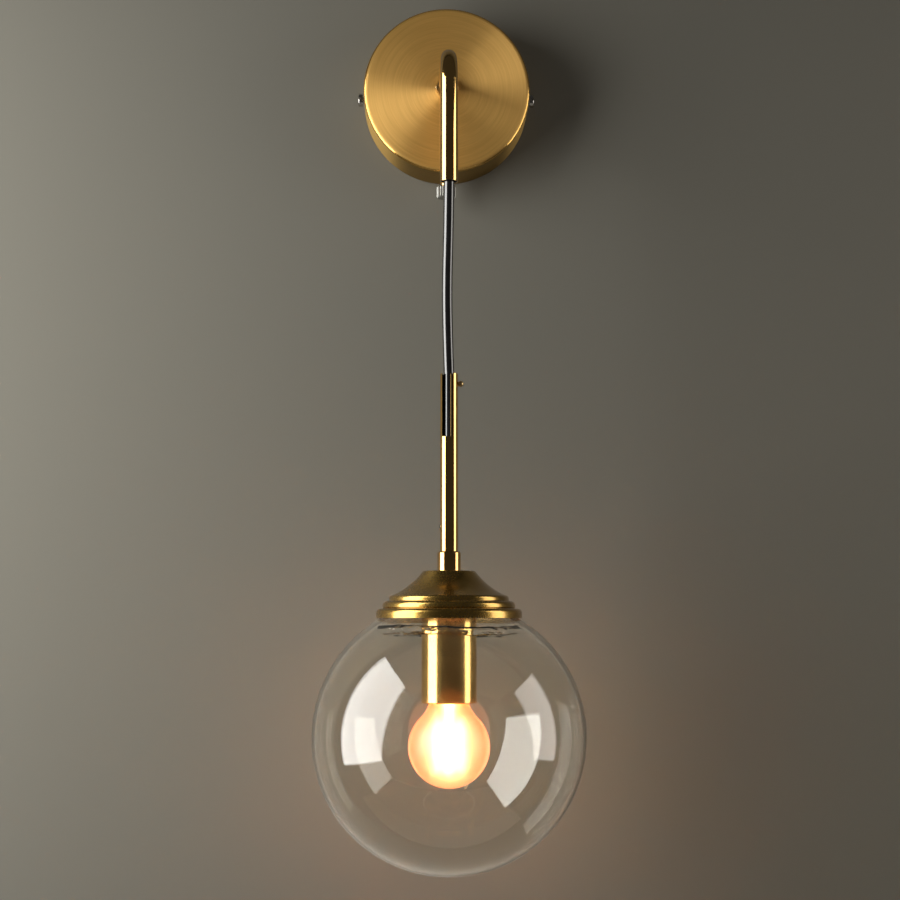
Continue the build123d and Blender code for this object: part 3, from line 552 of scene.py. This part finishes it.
def make_wall():
    """The wall. A view from behind sees through it, and light reaches the canopy's inside."""
    corners = [
        (wall_left, wall_gap, floor_level),
        (wall_right, wall_gap, floor_level),
        (wall_right, wall_gap, wall_top),
        (wall_left, wall_gap, wall_top),
    ]
    _, tree, output = stage_panel("wall", corners)
    paint = node(tree, "BsdfDiffuse", {"Color": wall_colour})
    behind = node(tree, "NewGeometry").outputs["Backfacing"]
    radius = calculate_vector(tree, "LENGTH", place(tree))
    opening = calculate(tree, "LESS_THAN", radius, wall_opening)
    open_here = calculate(tree, "MAXIMUM", behind, opening)
    clear = node(tree, "BsdfTransparent")
    mixed = node(tree, "MixShader", {0: open_here, 1: paint.outputs[0], 2: clear.outputs[0]})
    tree.links.new(mixed.outputs[0], output.inputs["Surface"])


def make_floor():
    """The pale floor, far below."""
    corners = [
        (floor_left, -floor_depth, floor_level),
        (floor_right, -floor_depth, floor_level),
        (floor_right, wall_gap, floor_level),
        (floor_left, wall_gap, floor_level),
    ]
    _, tree, output = stage_panel("floor", corners)
    paint = node(tree, "BsdfDiffuse", {"Color": floor_colour})
    tree.links.new(paint.outputs[0], output.inputs["Surface"])


make_wall()
make_floor()


# Light
def seen_straight(tree, or_by_camera=False):
    """1 for a ray that comes through glass and met no mirror, or from the camera too, and else 0."""
    path = node(tree, "LightPath")
    ray = path.outputs["Is Transmission Ray"]
    if or_by_camera:
        ray = calculate(tree, "MAXIMUM", path.outputs["Is Camera Ray"], ray)
    no_mirror = calculate(tree, "LESS_THAN", path.outputs["Glossy Depth"], 0.5)
    return calculate(tree, "MULTIPLY", ray, no_mirror)


def softbox(name, centre, aim, width, height, strength, colour, roll=0.0):
    """A soft lamp: a panel that glows on the side that faces its aim, rolled by degrees.

    The camera doesn't see it, nor does a ray that comes straight through glass.
    """
    wide, tall = width / 2, height / 2
    corners = [(-wide, -tall, 0), (-wide, tall, 0), (wide, tall, 0), (wide, -tall, 0)]
    made, tree, output = stage_panel(name, corners)
    made.location = centre
    facing = (Vector(aim) - Vector(centre)).to_track_quat("-Z", "Y")
    made.rotation_euler = (facing @ Quaternion((0, 0, 1), math.radians(roll))).to_euler()
    made.visible_camera = False
    back_side = node(tree, "NewGeometry").outputs["Backfacing"]
    hidden = calculate(tree, "MAXIMUM", back_side, seen_straight(tree))
    glow = node(tree, "Emission", {"Color": colour, "Strength": strength})
    clear = node(tree, "BsdfTransparent")
    mixed = node(tree, "MixShader", {0: hidden, 1: glow.outputs[0], 2: clear.outputs[0]})
    tree.links.new(mixed.outputs[0], output.inputs["Surface"])


def make_lamp_glow():
    """The light that the lamp sheds on what is near it, in place of the filaments' own."""
    low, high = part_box("bulb_glass")
    lamp = bpy.data.lights.new("lamp_glow", "POINT")
    lamp.energy = glow_power
    lamp.color = glow_colour
    lamp.shadow_soft_size = glow_size
    made = bpy.data.objects.new("lamp_glow", lamp)
    made.location = ((low.x + high.x) / 2, (low.y + high.y) / 2, low.z + glow_height)
    made.visible_camera = False
    made.visible_glossy = False
    made.visible_transmission = False
    bpy.context.scene.collection.objects.link(made)
    parts["filaments"].visible_diffuse = False


softbox(
    "softbox_left",
    centre=(-0.55, -0.301, -0.19),
    aim=(0, -0.301, -0.324),
    width=0.49,
    height=0.762,
    strength=6.8,
    colour=left_light,
    roll=-2.5,
)
softbox(
    "softbox_right",
    centre=(0.975, -0.266, -0.2145),
    aim=(0, -0.266, -0.612),
    width=0.482,
    height=0.928,
    strength=3.25,
    colour=right_light,
    roll=2.0,
)
softbox(
    "softbox_behind",
    centre=(0.1, 0.9, 0.25),
    aim=(0, 0, 0),
    width=0.8,
    height=0.8,
    strength=3.0,
    colour=behind_light,
)
make_lamp_glow()

world = bpy.data.worlds.new("room")
bpy.context.scene.world = world
world.use_nodes = True
sky = world.node_tree
sky.nodes.clear()
seen = seen_straight(sky, or_by_camera=True)
room = node(sky, "Background", {"Color": room_colour})
backdrop = node(sky, "Background", {"Color": backdrop_colour})
around = node(sky, "MixShader", {0: seen, 1: room.outputs[0], 2: backdrop.outputs[0]})
node(sky, "OutputWorld", {"Surface": around.outputs[0]})

camera = bpy.data.cameras.new("camera")
camera.lens = lens_mm
camera.sensor_width = sensor_mm
camera.shift_y = frame_shift
camera.clip_end = view_depth
viewpoint = bpy.data.objects.new("camera", camera)
viewpoint.location = eye
viewpoint.rotation_euler = (math.radians(90 + eye_pitch), 0, math.radians(eye_yaw))
bpy.context.scene.collection.objects.link(viewpoint)
bpy.context.scene.camera = viewpoint
bpy.context.scene.view_settings.view_transform = "Standard"
